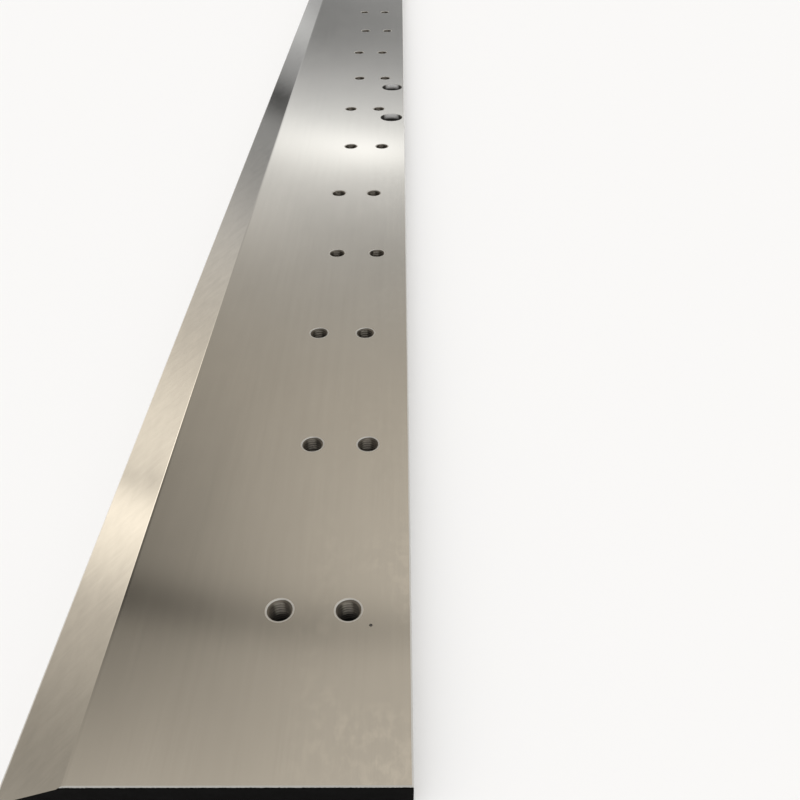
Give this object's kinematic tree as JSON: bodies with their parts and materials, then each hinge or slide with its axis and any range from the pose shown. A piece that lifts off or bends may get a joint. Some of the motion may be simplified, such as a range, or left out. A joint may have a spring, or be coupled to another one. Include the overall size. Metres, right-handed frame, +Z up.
{
  "type": "paper cutter blade",
  "caption": "Long flat knife for a guillotine paper cutter: a ground steel bar with a bevelled edge, tapped screw holes in pairs along the back, and larger bores beside the back edge.",
  "frame": {"origin": "middle of the flat back on which the blade lies", "axes": "+Y along the blade's length, away from the end seen nearest; +X from the cutting edge to the back edge; +Z up, from the flat back to the bevelled side"},
  "size_m": [0.16, 1.605, 0.0138],
  "materials": {
    "ground_steel": "satin ground steel, lengthwise grind on the faces, slanting grind on the bevel, blackened ends"
  },
  "bodies": {
    "root": {"blade": "ground_steel"}
  },
  "joints": []
}
